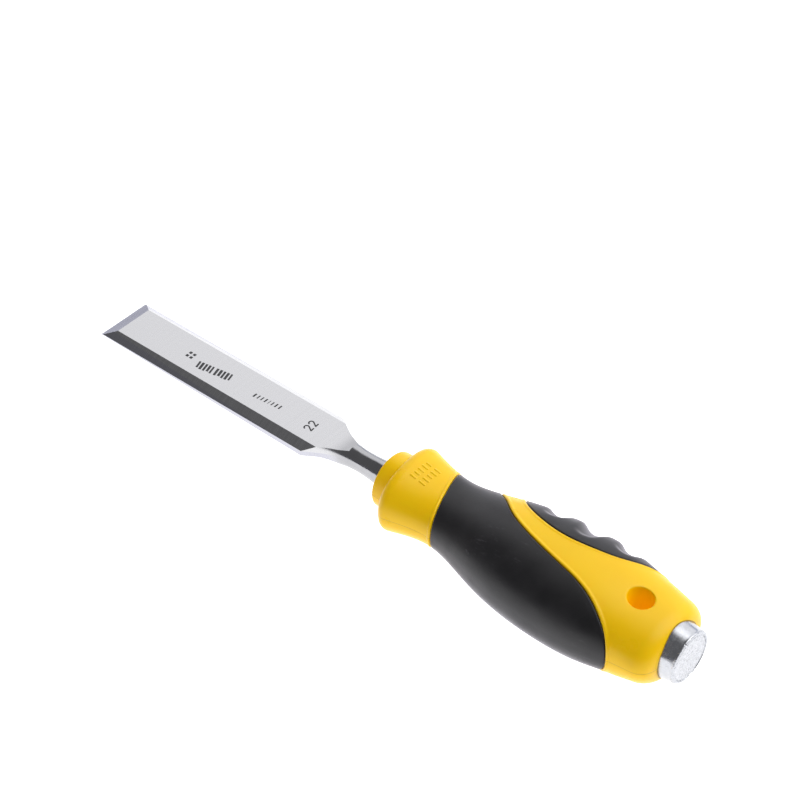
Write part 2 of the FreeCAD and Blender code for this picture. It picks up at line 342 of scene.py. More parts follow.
def section(t, x):
    """Unit point of the handle's oval section at turn t: squarer along the grip than at the butt."""
    c, s = np.cos(t), np.sin(t)
    power = power_at(x)
    reach = (np.abs(c) ** power + np.abs(s) ** power) ** (-1 / power)
    return reach * c, OVAL * reach * s


def turn_at(across, x):
    """Turn t of the section's upper half where it crosses this share of its half width."""
    across = np.clip(across, -1, 1)
    power = power_at(x)
    return np.arctan2((1 - np.abs(across) ** power) ** (1 / power), across)


def slant(x):
    """Forward lean of the sections towards the finger side, fading out behind the collar."""
    return COLLAR_SLANT * np.clip((x - SLANT_REAR_X) / (SLANT_FRONT_X - SLANT_REAR_X), 0, 1)


def skin(s, t):
    """Point of the handle's surface at distance s along the profile and turn t round it."""
    x = np.interp(s, EVEN, PROFILE_X)
    r = np.interp(s, EVEN, PROFILE_R)
    y, z = section(t, x)
    return np.stack([x - slant(x) * r * y, r * y, r * z], -1)


def tangents(s, t):
    """Directions along the profile and round the oval on the handle's surface."""
    lengthwise = (skin(s + RUN_STEP, t) - skin(s - RUN_STEP, t)) / (2 * RUN_STEP)
    crosswise = (skin(s, t + TURN_STEP) - skin(s, t - TURN_STEP)) / (2 * TURN_STEP)
    return lengthwise, crosswise


def surface(s, t, rise=0.0):
    """Point at distance s and turn t, raised off the handle's surface."""
    s, t, rise = np.broadcast_arrays(np.asarray(s, float), np.asarray(t, float), np.asarray(rise, float))
    base = skin(s, t)
    lengthwise, crosswise = tangents(s, t)
    normal = np.cross(lengthwise, crosswise)
    normal /= np.linalg.norm(normal, axis=-1, keepdims=True)
    outward = np.sign(np.sum(normal * (base * [0, 1, 1]), -1, keepdims=True))
    outward[outward == 0] = 1
    return base + rise[..., None] * normal * outward


def station(x, y):
    """Profile station whose leaning section passes over (x, y) in plan."""
    place = x
    for _ in range(4):
        place = x + slant(place) * y
    return place


def on_handle(plan_points):
    """(s, t) of a plan-view curve on the upper half of the handle, cut off at its sides."""
    p = np.array(plan_points)
    p[:, 0] = station(p[:, 0], p[:, 1])
    cosine = p[:, 1] / radius_at(p[:, 0])
    covered = np.abs(cosine) <= 1
    first, last = np.flatnonzero(covered)[[0, -1]]
    s = list(along_at(p[first:last + 1, 0]))
    t = list(turn_at(cosine[first:last + 1], p[first:last + 1, 0]))
    for k, other in ((first, first - 1), (last, last + 1)):
        if 0 <= other < len(p):
            limit = np.sign(cosine[k])
            f = (limit - cosine[k]) / (cosine[other] - cosine[k])
            x = p[k, 0] + f * (p[other, 0] - p[k, 0])
            spot = 0 if other < k else len(s)
            s.insert(spot, float(along_at(x)))
            t.insert(spot, 0.0 if limit > 0 else math.pi)
    return np.array(s), np.array(t)


def across_border(s, t):
    """Change of (s, t) for one millimetre square across a border, to its left."""
    lengthwise, crosswise = tangents(s, t)
    run = np.gradient(s)[:, None] * lengthwise + np.gradient(t)[:, None] * crosswise
    run /= np.linalg.norm(run, axis=1, keepdims=True)
    normal = np.cross(lengthwise, crosswise)
    normal /= np.linalg.norm(normal, axis=1, keepdims=True)
    across = np.cross(normal, run)
    ds = np.sum(across * lengthwise, 1) / np.sum(lengthwise ** 2, 1)
    dt = np.sum(across * crosswise, 1) / np.sum(crosswise ** 2, 1)
    dt[np.isclose(t, 0) | np.isclose(t, math.pi)] = 0
    return ds, dt


def step_along(s, t, way):
    """The step across a border that runs over the handle: to the rear (+1) or the front (-1)."""
    ds, dt = across_border(s, t)
    sign = way * np.sign(np.mean(ds))
    return ds * sign, dt * sign


def step_down(s, t, way):
    """The step across the pad's border: down the finger side (+1) or up over the top (-1)."""
    ds, dt = across_border(s, t)
    sign = way * np.sign(dt[len(t) // 2])
    return ds * sign, dt * sign


def resample(s, t, spacing):
    """The curve (s, t) again, with points evenly spaced over the surface."""
    points = surface(s, t)
    length = np.concatenate([[0], np.cumsum(np.linalg.norm(np.diff(points, axis=0), axis=1))])
    count = max(8, int(round(length[-1] / spacing)) + 1)
    even = np.linspace(0, length[-1], count)
    return np.interp(even, length, s), np.interp(even, length, t)


# ---------------------------------------------------------------- mesh building

class Half:
    """The upper half of a closed shell, in millimetres, to be mirrored under the XY plane."""

    def __init__(self):
        self.points = []
        self.faces = []

    def row(self, points):
        """Add points, and give their numbers."""
        start = len(self.points)
        self.points.extend(np.asarray(points, float).tolist())
        return list(range(start, len(self.points)))

    def bridge(self, a, b, closed=False):
        """Quads between two rows of as many points."""
        last = len(a) if closed else len(a) - 1
        for i in range(last):
            j = (i + 1) % len(a)
            self.faces.append((a[i], a[j], b[j], b[i]))

    def chain(self, rows, closed=False):
        for a, b in zip(rows, rows[1:]):
            self.bridge(a, b, closed)

    def fill(self, loops, flat, spacing, place):
        """Triangles inside loops of existing points. flat holds each loop's flat coordinates,
        and place turns flat coordinates into a point."""
        outline = np.concatenate(flat)
        edges = []
        start = 0
        for loop in flat:
            n = len(loop)
            edges += [(start + i, start + (i + 1) % n) for i in range(n)]
            start += n
        low, high = outline.min(0), outline.max(0)
        columns = np.arange(low[0], high[0], spacing)
        grid = []
        for k, u in enumerate(columns):
            shift = 0.5 * spacing * (k % 2)
            v = np.arange(low[1] + shift, high[1], spacing * ROW_STRETCH)
            grid.append(np.stack([np.full_like(v, u), v], 1))
        grid = np.concatenate(grid)
        grid = grid[inside(grid, flat)]
        near = np.array([np.min(np.sum((outline - g) ** 2, 1)) for g in grid])
        grid = grid[near > (EDGE_CLEARANCE * spacing) ** 2]
        everything = [Vector(p) for p in np.concatenate([outline, grid])]
        verts, _, tris, origin, _, _ = delaunay_2d_cdt(everything, edges, [], 0, 1e-7)
        known = [i for loop in loops for i in loop]
        index = []
        for spot, source in zip(verts, origin):
            if source and source[0] < len(known):
                index.append(known[source[0]])
            else:
                index.append(self.row([place(spot[0], spot[1])])[0])
        centres = np.array([np.mean([verts[i] for i in tri], axis=0) for tri in tris])
        keep = inside(centres, flat)
        for tri, wanted in zip(tris, keep):
            if wanted:
                self.faces.append(tuple(index[i] for i in tri))

    def build(self, name):
        """The whole shell: both halves welded, its faces turned outward."""
        points = np.array(self.points) * MM
        mirrored = points * [1, 1, -1]
        offset = len(points)
        faces = list(self.faces)
        faces += [tuple(offset + i for i in reversed(f)) for f in self.faces]
        return mesh_object(name, np.concatenate([points, mirrored]), faces)


def inside(points, loops):
    """Even-odd test of points against closed loops."""
    result = np.zeros(len(points), bool)
    for loop in loops:
        a = np.asarray(loop)
        b = np.roll(a, -1, axis=0)
        for (x1, y1), (x2, y2) in zip(a, b):
            if y1 == y2:
                continue
            crosses = (points[:, 1] > min(y1, y2)) & (points[:, 1] <= max(y1, y2))
            x = x1 + (points[:, 1] - y1) * (x2 - x1) / (y2 - y1)
            result ^= crosses & (points[:, 0] < x)
    return result


def mesh_object(name, points, faces, weld=2e-6, sharp=40.0):
    """A mesh object in metres, welded, with outward normals and smooth shading."""
    mesh = bpy.data.meshes.new(name)
    mesh.from_pydata([tuple(p) for p in points], [], faces)
    work = bmesh.new()
    work.from_mesh(mesh)
    bmesh.ops.remove_doubles(work, verts=work.verts, dist=weld)
    bmesh.ops.dissolve_degenerate(work, edges=work.edges, dist=weld / 2)
    bmesh.ops.recalc_face_normals(work, faces=work.faces)
    for face in work.faces:
        face.smooth = True
    for edge in work.edges:
        edge.smooth = edge.calc_face_angle(0) < math.radians(sharp)
    work.to_mesh(mesh)
    work.free()
    piece = bpy.data.objects.new(name, mesh)
    bpy.context.scene.collection.objects.link(piece)
    return piece


def round_edge(radius, steps=6):
    """(distance in, rise) pairs from the wall under a rounded edge to the flat beyond it."""
    turn = np.radians(np.linspace(0, 90, steps))
    return [(radius * (1 - math.cos(a)), -radius * (1 - math.sin(a))) for a in turn]


def edge_rows(half, s, t, step, radius, depth, bead=0.0):
    """Rows from the foot of a panel's wall over its rounded edge, which may stand up as a bead.
    Returns the rows and the last (s, t)."""
    ds, dt = step
    rows = [half.row(surface(s + ds * GAP, t + dt * GAP, -depth))]
    path = [(distance, rise + bead) for distance, rise in round_edge(radius)]
    if bead:
        for f in np.linspace(0, 1, BEAD_ROWS)[1:]:
            path.append((radius + f * BEAD_WIDTH, bead * (1 + math.cos(math.pi * f)) / 2))
    for distance, rise in path:
        reach = GAP + distance
        last = (s + ds * reach, t + dt * reach)
        rows.append(half.row(surface(last[0], last[1], rise)))
    return rows, last


# ---------------------------------------------------------------- handle

TURNS = np.linspace(0, math.pi, HALF_TURN_STEPS + 1)


def border_by_turn(plan_points):
    """Distance along the profile at each turn, for a border that runs right across the handle."""
    s, t = on_handle(plan_points)
    order = np.argsort(t)
    return np.interp(TURNS, t[order], s[order])


def sleeve_front_border():
    """The sleeve's front edge in plan view: a slanting bow, drawn past both sides."""
    (x1, y1), (x0, _), (x2, y2) = SLEEVE_FRONT
    slope = (x2 - x1) / (y2 - y1)
    bow = ((x1 + x2) / 2 - x0) / y2 ** 2
    y = np.linspace(SLEEVE_FRONT_REACH * y1, SLEEVE_FRONT_REACH * y2, FRONT_POINTS)
    return np.stack([x0 + slope * y + bow * y ** 2, y], 1)


FRONT_S = border_by_turn(sleeve_front_border())
REAR_S = border_by_turn(spline(SLEEVE_REAR, CURVE_POINTS))
PAD_S, PAD_T = resample(*on_handle(spline(PAD_EDGE, CURVE_POINTS)), FINE)


def scoop_depth(x, t):
    """How far the finger scoops cut in under the handle's surface, with softened ridges."""
    across, up = section(t, x)
    r = radius_at(x)
    y, z = r * across, r * up / SCOOP_OVAL
    reached = np.hypot(y, z)
    from_side = np.arctan2(np.abs(z), -y)
    total = np.zeros_like(r)
    for place, depth, reach in SCOOPS:
        ring = radius_at(place) - depth + SCOOP_RADIUS
        spare = np.clip(from_side - math.radians(reach), 0, None)
        square = SCOOP_RADIUS ** 2 - (x - place) ** 2 - (ring * np.sin(spare)) ** 2
        cut = reached - (ring * np.cos(spare) - np.sqrt(np.clip(square, 0, None)))
        cut = np.where(square > 0, cut, -SCOOP_RADIUS)
        total += SCOOP_SOFTNESS * np.log1p(np.exp(np.clip(cut / SCOOP_SOFTNESS, -30, 30)))
    return total


def pad_rise(s, t):
    """Height of the scooped pad against the handle's surface."""
    x = np.interp(s, EVEN, PROFILE_X)
    return -scoop_depth(x, np.broadcast_to(t, np.shape(x)))


def flat_of(s, t):
    """Flat coordinates for triangles, about true to scale in the middle of the handle."""
    return np.stack([np.asarray(s), np.asarray(t) * FLAT_SCALE], 1)


def body_place(u, v):
    """Point of the body's surface at flat coordinates."""
    return surface(u, v / FLAT_SCALE)


def pad_place(u, v):
    """Point of the scooped pad's surface at flat coordinates."""
    t = v / FLAT_SCALE
    return surface(u, t, pad_rise(np.float64(u), np.float64(t)))


def close_along_side(flat, spacing):
    """A curve that starts and ends on the side line, closed by points along that line."""
    start, end = flat[-1], flat[0]
    count = max(2, int(abs(end[0] - start[0]) / spacing))
    between = np.linspace(start, end, count + 1)[1:-1]
    return np.concatenate([flat, between])


def fill_under_pad(half, edge, depth):
    """Plain floor at one depth inside the pad's border, whose row of points is given."""
    flat = close_along_side(flat_of(PAD_S, PAD_T), COARSE)
    loop = edge + half.row(surface(flat[len(edge):, 0], math.pi, -depth))
    half.fill([loop], [flat], COARSE, lambda u, v: surface(u, v / FLAT_SCALE, -depth))


def make_sleeve():
    """Soft sleeve: a closed ring between its two borders, with rounded edges."""
    half = Half()
    front_step = step_along(FRONT_S, TURNS, 1)
    rear_step = step_along(REAR_S, TURNS, -1)
    foot = SLEEVE_SEAT - SEAT_PLAY
    front_rows, front = edge_rows(half, FRONT_S, TURNS, front_step, RUBBER_EDGE, foot)
    rear_rows, rear = edge_rows(half, REAR_S, TURNS, rear_step, RUBBER_EDGE, foot)
    middle = []
    for f in np.linspace(0, 1, SLEEVE_ROWS)[1:-1]:
        s = front[0] + f * (rear[0] - front[0])
        t = front[1] + f * (rear[1] - front[1])
        middle.append(half.row(surface(s, t)))
    front_foot = FRONT_S + front_step[0] * GAP
    rear_foot = REAR_S + rear_step[0] * GAP
    under = []
    for f in np.linspace(0, 1, SLEEVE_FOOT_ROWS)[1:-1]:
        under.append(half.row(surface(rear_foot + f * (front_foot - rear_foot), TURNS, -foot)))
    half.chain(front_rows + middle + rear_rows[::-1] + under + [front_rows[0]])
    return half.build("grip_sleeve_skin")


def make_pad():
    """Soft finger pad with its scoops, a closed solid."""
    half = Half()
    foot = PAD_SEAT - SEAT_PLAY
    rows, last = edge_rows(half, PAD_S, PAD_T, step_down(PAD_S, PAD_T, 1), RUBBER_EDGE, foot)
    half.chain(rows)
    flat = close_along_side(flat_of(*last), PAD_FINE)
    side_s = flat[len(rows[-1]):, 0]
    loop = rows[-1] + half.row(surface(side_s, math.pi, pad_rise(side_s, math.pi)))
    half.fill([loop], [flat], PAD_FINE, pad_place)
    fill_under_pad(half, rows[0], foot)
    return half.build("finger_pad_skin")


def end_row(half, x, radius):
    """Row across the handle inside one of its ends, which closes the shell there."""
    y, z = section(TURNS, GRIP_POWER_X)
    return half.row(np.stack([np.full_like(TURNS, x), radius * y, radius * z], 1))


def make_collar(half):
    """Collar, from its closed front end to the wall behind it. Returns the row at the wall's foot."""
    step = step_along(FRONT_S, TURNS, -1)
    rows, last = edge_rows(half, FRONT_S, TURNS, step, PLASTIC_EDGE, SLEEVE_SEAT, BEAD_RISE)
    collar = [half.row(surface(f * last[0], TURNS)) for f in np.linspace(0, 1, COLLAR_ROWS)[:-1]]
    end = [end_row(half, COLLAR_X - COLLAR_END_DEPTH, r) for r in (0, COLLAR_END_RADIUS)]
    half.chain(end + collar + rows[::-1])
    return rows[0]


def make_sleeve_seat(half, front_foot):
    """Seat under the sleeve, and the border behind it. Returns that border's row and flat outline."""
    step = step_along(REAR_S, TURNS, 1)
    rows, last = edge_rows(half, REAR_S, TURNS, step, PLASTIC_EDGE, SLEEVE_SEAT, BEAD_RISE)
    half.chain(rows)
    seat = []
    for f in np.linspace(0, 1, SLEEVE_SEAT_ROWS)[1:-1]:
        seat.append(half.row(surface(FRONT_S - GAP + f * (REAR_S - FRONT_S), TURNS, -SLEEVE_SEAT)))
    half.chain([front_foot] + seat + [rows[0]])
    return rows[-1], flat_of(*last)


def make_pad_seat(half):
    """Seat under the pad, and the border round it. Returns that border's row and flat outline."""
    step = step_down(PAD_S, PAD_T, -1)
    rows, last = edge_rows(half, PAD_S, PAD_T, step, PLASTIC_EDGE, PAD_SEAT, BEAD_RISE)
    half.chain(rows)
    fill_under_pad(half, rows[0], PAD_SEAT)
    return rows[-1][::-1], flat_of(*last)[::-1]


def make_butt(half):
    """Butt's rounded end, closed under the cap. Returns its first row and flat outline."""
    first = float(along_at(BUTT_X + BUTT_ROUNDING + BUTT_BORDER))
    rows = [half.row(surface(s, TURNS)) for s in np.linspace(first, EVEN[-1], BUTT_ROWS)]
    end = [end_row(half, BUTT_X + BUTT_END_DEPTH, r) for r in (BUTT_END_RADIUS, 0)]
    half.chain(rows + end)
    return rows[0][::-1], flat_of(np.full_like(TURNS, first), TURNS)[::-1]


def make_hole(half):
    """Rounded rim and straight wall of the hang hole, down to the middle plane. Returns the rim's
    outer row and flat outline."""
    turn = np.linspace(0, 2 * math.pi, HOLE_STEPS + 1)[:-1]
    rows = []
    for distance, rise in round_edge(HOLE_EDGE, HOLE_EDGE_ROWS):
        reach = HOLE_RADIUS + distance
        x = HOLE_X + reach * np.cos(turn)
        y = reach * np.sin(turn)
        s = along_at(x)
        t = turn_at(y / radius_at(x), x)
        top = surface(s, t)
        top[:, 2] += rise
        rows.append(half.row(top))
    rim = np.array(half.points)[rows[0]]
    wall = []
    for f in np.linspace(0, 1, HOLE_ROWS)[:-1]:
        wall.append(half.row(rim * [1, 1, f]))
    half.chain(wall + rows, closed=True)
    return rows[-1], flat_of(s, t)


def side_line(half, start, end, turn):
    """Row strictly between two places on one of the side lines, and its flat outline."""
    count = max(2, int(abs(end[0] - start[0]) / FINE))
    s = np.linspace(start[0], end[0], count + 1)[1:-1]
    return half.row(surface(s, turn)), flat_of(s, np.full_like(s, turn))


def make_body():
    """Hard yellow body: collar, S-shaped band, butt and hang hole, with seats under the panels."""
    half = Half()
    front_foot = make_collar(half)
    rear = make_sleeve_seat(half, front_foot)
    pad = make_pad_seat(half)
    butt = make_butt(half)
    hole_row, hole_flat = make_hole(half)
    stretches = [
        rear,
        side_line(half, rear[1][-1], pad[1][0], math.pi),
        pad,
        side_line(half, pad[1][-1], butt[1][0], math.pi),
        butt,
        side_line(half, butt[1][-1], rear[1][0], 0.0),
    ]
    loop = [i for row, _ in stretches for i in row]
    flat = np.concatenate([outline for _, outline in stretches])
    half.fill([loop, hole_row], [flat, hole_flat], FINE, body_place)
    return half.build("handle_shell")


# ---------------------------------------------------------------- camera, light and floor

def make_camera():
    """A long lens above the palm side of the butt, looking down the tool."""
    right = Vector(CAMERA_RIGHT)
    up = Vector(CAMERA_UP)
    back = right.cross(up).normalized()
    camera = bpy.data.cameras.new("camera")
    camera.lens = CAMERA_LENS
    camera.sensor_width = CAMERA_FILM
    camera.clip_end = CAMERA_SIGHT
    holder = bpy.data.objects.new("camera", camera)
    turn = Matrix((right, up, back)).transposed().to_4x4()
    holder.matrix_world = Matrix.Translation(Vector(CAMERA_PLACE)) @ turn
    bpy.context.scene.collection.objects.link(holder)
    bpy.context.scene.camera = holder


def floor_line():
    """Slope and height of the plane that touches the belly and the collar from below."""
    low = -OVAL * PROFILE_R
    collar = PROFILE_X > SLANT_FRONT_X - COLLAR_ROUNDING
    least, most = 0.0, STEEPEST_FLOOR
    for _ in range(40):
        slope = (least + most) / 2
        height = low - slope * PROFILE_X
        if height[collar].min() > height[~collar].min():
            least = slope
        else:
            most = slope
    return slope, height.min() - FLOOR_GAP


def make_floor():
    """A pale floor that the belly and the collar rest on."""
    slope, height = floor_line()
    corners = []
    for x, y in ((-1, -1), (1, -1), (1, 1), (-1, 1)):
        z = height + slope * x * FLOOR_REACH
        corners.append((x * FLOOR_REACH * MM, y * FLOOR_REACH * MM, z * MM))
    mesh = bpy.data.meshes.new("floor")
    mesh.from_pydata(corners, [], [(0, 1, 2, 3)])
    floor = bpy.data.objects.new("floor", mesh)
    bpy.context.scene.collection.objects.link(floor)
    floor.data.materials.append(floor_material())


# ---------------------------------------------------------------- node helpers

class Nodes:
    """Short names for building one node tree."""

    def __init__(self, tree):
        self.tree = tree

    def new(self, kind, **settings):
        node = self.tree.nodes.new("ShaderNode" + kind)
        for key, value in settings.items():
            setattr(node, key, value)
        return node

    def plug(self, source, socket):
        """Link a socket, or set a plain value."""
        if isinstance(source, bpy.types.NodeSocket):
            self.tree.links.new(source, socket)
        else:
            socket.default_value = source

    def math(self, operation, a, b=0.0):
        node = self.new("Math", operation=operation)
        self.plug(a, node.inputs[0])
        self.plug(b, node.inputs[1])
        return node.outputs["Value"]

    def times(self, a, b):
        return self.math("MULTIPLY", a, b)

    def dot(self, vector, direction):
        node = self.new("VectorMath", operation="DOT_PRODUCT")
        self.plug(vector, node.inputs[0])
        node.inputs[1].default_value = direction
        return node.outputs["Value"]

    def scaled(self, vector, factors):
        node = self.new("Mapping")
        self.plug(vector, node.inputs["Vector"])
        node.inputs["Scale"].default_value = factors
        return node.outputs["Vector"]

    def noise(self, vector, scale, detail=3.0, roughness=0.5):
        node = self.new("TexNoise")
        self.plug(vector, node.inputs["Vector"])
        node.inputs["Scale"].default_value = scale
        node.inputs["Detail"].default_value = detail
        node.inputs["Roughness"].default_value = roughness
        return node.outputs["Fac"]

    def cells(self, vector, scale):
        node = self.new("TexVoronoi")
        self.plug(vector, node.inputs["Vector"])
        node.inputs["Scale"].default_value = scale
        return node.outputs["Distance"]

    def span(self, value, low, high, out_low=0.0, out_high=1.0):
        """Smooth step of a value from one range to another."""
        node = self.new("MapRange", interpolation_type="SMOOTHSTEP")
        self.plug(value, node.inputs["Value"])
        ends = {"From Min": low, "From Max": high, "To Min": out_low, "To Max": out_high}
        for name, number in ends.items():
            node.inputs[name].default_value = number
        return node.outputs["Result"]

    def fade(self, value, start, edge, full=1.0):
        """From full down to 0 over an edge given in millimetres from a start in millimetres."""
        return self.span(value, (start + edge[0]) * MM, (start + edge[1]) * MM, full, 0.0)

    def mix(self, factor, a, b):
        """Blend two colours, which are the node's inputs 6 and 7 and its output 2."""
        node = self.new("Mix", data_type="RGBA")
        self.plug(factor, node.inputs["Factor"])
        self.plug(a, node.inputs[6])
        self.plug(b, node.inputs[7])
        return node.outputs[2]

    def bump(self, height, distance, strength=1.0, normal=None):
        node = self.new("Bump")
        self.plug(height, node.inputs["Height"])
        node.inputs["Distance"].default_value = distance
        node.inputs["Strength"].default_value = strength
        if normal is not None:
            self.plug(normal, node.inputs["Normal"])
        return node.outputs["Normal"]


def new_material(name):
    """A material, its node helper, its main shader and the object's own coordinates in metres."""
    material = bpy.data.materials.new(name)
    material.use_nodes = True
    nodes = Nodes(material.node_tree)
    shader = material.node_tree.nodes["Principled BSDF"]
    place = nodes.new("TexCoord").outputs["Object"]
    return material, nodes, shader, place


def set_shader(nodes, shader, **values):
    """Plug values into the shader's sockets, named with underscores for spaces."""
    for name, value in values.items():
        nodes.plug(value, shader.inputs[name.replace("_", " ")])


# ---------------------------------------------------------------- light

# Each edge is where a light fades in, as the cosine from its way, or as the height for LOW_EDGE
FAR_WAY = Vector((0.10, -0.95, 0.30)).normalized()
FAR_EDGE = (0.50, 0.72)
LAMP_WAY = Vector((-0.35, -0.40, 0.85)).normalized()
LAMP_EDGE = (0.78, 0.97)
LOW_EDGE = (0.0, 0.34)
NEAR_HIGH = (0.170, 0.170, 0.175, 1)
NEAR_LOW = (0.16, 0.16, 0.19, 1)
FAR_HIGH = (1.42, 1.42, 1.45, 1)
FAR_LOW = (0.36, 0.42, 0.60, 1)
LAMP = (3.4, 3.4, 3.4, 1)


def make_world():
    """A studio with a wide soft light beyond the tool and a lamp high up, dim on the near side."""
    world = bpy.data.worlds.new("studio")
    bpy.context.scene.world = world
    world.use_nodes = True
    world.node_tree.nodes.clear()
    nodes = Nodes(world.node_tree)
    way = nodes.new("TexCoord").outputs["Generated"]
    far = nodes.span(nodes.dot(way, FAR_WAY), *FAR_EDGE)
    height = nodes.span(nodes.dot(way, (0, 0, 1)), *LOW_EDGE)
    sky = nodes.mix(height, nodes.mix(far, NEAR_LOW, FAR_LOW), nodes.mix(far, NEAR_HIGH, FAR_HIGH))
    sky = nodes.mix(nodes.span(nodes.dot(way, LAMP_WAY), *LAMP_EDGE), sky, LAMP)
    light = nodes.new("Background")
    nodes.plug(sky, light.inputs["Color"])
    light.inputs["Strength"].default_value = 1.0
    nodes.plug(light.outputs[0], nodes.new("OutputWorld").inputs["Surface"])


# ---------------------------------------------------------------- materials

# Tones in linear light. A pair is a mottle's darker and lighter tone.
CARD = ((0.12, 0.12, 0.12, 1), (0.14, 0.14, 0.14, 1))
CARD_LIGHT = (0.985, 0.985, 1.0, 1)
CARD_STRENGTH = 1.6

YELLOW = ((0.90, 0.545, 0.0008, 1), (0.935, 0.575, 0.0016, 1))
YELLOW_DEPTH = (1.0, 0.45, 0.05)
YELLOW_SHINE = 0.24
YELLOW_SOFTNESS = 0.12
# Painted light in the hang hole: a brighter, more orange wall tone and a painted glow
BORE_PAINTED_LIGHT = (1.0, 0.64, 0.001, 1)
BORE_PAINTED_GLOW = (0.062, 0.034, 0.0, 1)
BORE_SHINE = 0.03
NO_GLOW = (0.0, 0.0, 0.0, 1)
# Painted shadow in the crease on the butt round the cap, and how strong it is
CAP_SHADOW = (0.16, 0.075, 0.0, 1)
CAP_SHADOW_STRENGTH = 0.75
SPECK = (0.35, 0.17, 0.0, 1)
SEAM = (0.30, 0.14, 0.0, 1)
SEAM_FADE = (0.04, 0.13)

RUBBER = ((0.0050, 0.0047, 0.0056, 1), (0.0085, 0.0080, 0.0092, 1))
RUBBED = (0.065, 0.062, 0.070, 1)
RUBBER_SHEEN = (0.95, 0.90, 1.0, 1)

GROUND_STEEL = ((0.482, 0.482, 0.490, 1), (0.528, 0.528, 0.536, 1))
POLISHED_STEEL = ((0.33, 0.33, 0.34, 1), (0.39, 0.39, 0.40, 1))
# Painted reflections: a darker bluish tone on the cutting bevel, and a bluish tone on the lower side
# faces
BEVEL_PAINTED_REFLECTION = (0.185, 0.188, 0.245, 1)
LAND_PAINTED_REFLECTION = (0.445, 0.445, 0.49, 1)
PLATE = ((0.40, 0.41, 0.43, 1), (0.56, 0.57, 0.60, 1))
INK = ((0.020, 0.020, 0.022, 1), (0.060, 0.060, 0.066, 1))


def floor_material():
    """White card with a light of its own, so that it carries almost no shadow."""
    material, nodes, shader, place = new_material("white_card")
    tone = nodes.mix(nodes.noise(place, 900.0), *CARD)
    set_shader(nodes, shader, Base_Color=tone, Roughness=0.95, Specular_IOR_Level=0.0)
    set_shader(nodes, shader, Emission_Color=CARD_LIGHT, Emission_Strength=CARD_STRENGTH)
    return material


def bore_mask(nodes, place):
    """1 on the wall of the hang hole, 0 elsewhere."""
    away = nodes.new("VectorMath", operation="DISTANCE")
    nodes.plug(nodes.scaled(place, (1.0, 1.0, 0.0)), away.inputs[0])
    away.inputs[1].default_value = (HOLE_X * MM, 0.0, 0.0)
    return nodes.fade(away.outputs["Value"], HOLE_RADIUS, BORE_FADE)


def cap_shadow_mask(nodes, place):
    """Painted shadow: the dark line on the butt where the cap goes in."""
    away = nodes.new("VectorMath", operation="LENGTH")
    nodes.plug(nodes.scaled(place, (0.0, 1.0, 1.0)), away.inputs[0])
    ring = nodes.fade(away.outputs["Value"], CAP_RADIUS, CAP_SHADOW_FADE, CAP_SHADOW_STRENGTH)
    rear = nodes.fade(nodes.dot(place, (1, 0, 0)), BUTT_X, CAP_SHADOW_DEPTH)
    return nodes.times(ring, rear)


def yellow_material():
    """Moulded yellow plastic: fine erosion texture, cloudy gloss, a few specks, a parting line, painted
    light in the hang hole (a brighter wall tone and a painted glow) and a painted shadow line round the
    cap."""
    material, nodes, shader, place = new_material("moulded_yellow")
    tone = nodes.mix(nodes.span(nodes.noise(place, 45.0, 4.0), 0.3, 0.7), *YELLOW)
    bore = bore_mask(nodes, place)
    # Painted light in the hang hole: the wall gets a brighter tone and a painted glow
    tone = nodes.mix(bore, tone, BORE_PAINTED_LIGHT)
    bore_painted_glow = nodes.mix(bore, NO_GLOW, BORE_PAINTED_GLOW)
    # Painted shadow on the butt round the cap
    tone = nodes.mix(cap_shadow_mask(nodes, place), tone, CAP_SHADOW)
    speck = nodes.span(nodes.cells(place, 260.0), 0.0, 0.055, 1.0, 0.0)
    thin = nodes.span(nodes.noise(place, 70.0), 0.56, 0.66)
    tone = nodes.mix(nodes.times(nodes.times(speck, thin), 0.35), tone, SPECK)
    side = nodes.math("ABSOLUTE", nodes.dot(place, (0, 0, 1)))
    seam = nodes.fade(side, 0.0, SEAM_FADE)
    tone = nodes.mix(nodes.times(seam, 0.55), tone, SEAM)
    normal = nodes.bump(nodes.noise(place, 3200.0, 2.0), 0.02 * MM, 0.35)
    normal = nodes.bump(nodes.noise(place, 240.0, 2.0), 0.04 * MM, 0.25, normal)
    normal = nodes.bump(nodes.times(seam, -1.0), 0.08 * MM, 0.8, normal)
    gloss = nodes.span(nodes.noise(place, 90.0, 5.0), 0.3, 0.7, 0.27, 0.36)
    shine = nodes.span(bore, 0.0, 1.0, YELLOW_SHINE, BORE_SHINE)
    softness = nodes.span(bore, 0.0, 1.0, YELLOW_SOFTNESS, 0.0)
    set_shader(nodes, shader, Base_Color=tone, Roughness=gloss, Normal=normal, Specular_IOR_Level=shine)
    set_shader(nodes, shader, Subsurface_Weight=softness, Subsurface_Scale=1.2 * MM)
    set_shader(nodes, shader, Subsurface_Radius=YELLOW_DEPTH)
    # The emission is the painted glow in the hang hole, and none elsewhere
    set_shader(nodes, shader, Emission_Color=bore_painted_glow, Emission_Strength=1.0)
    return material


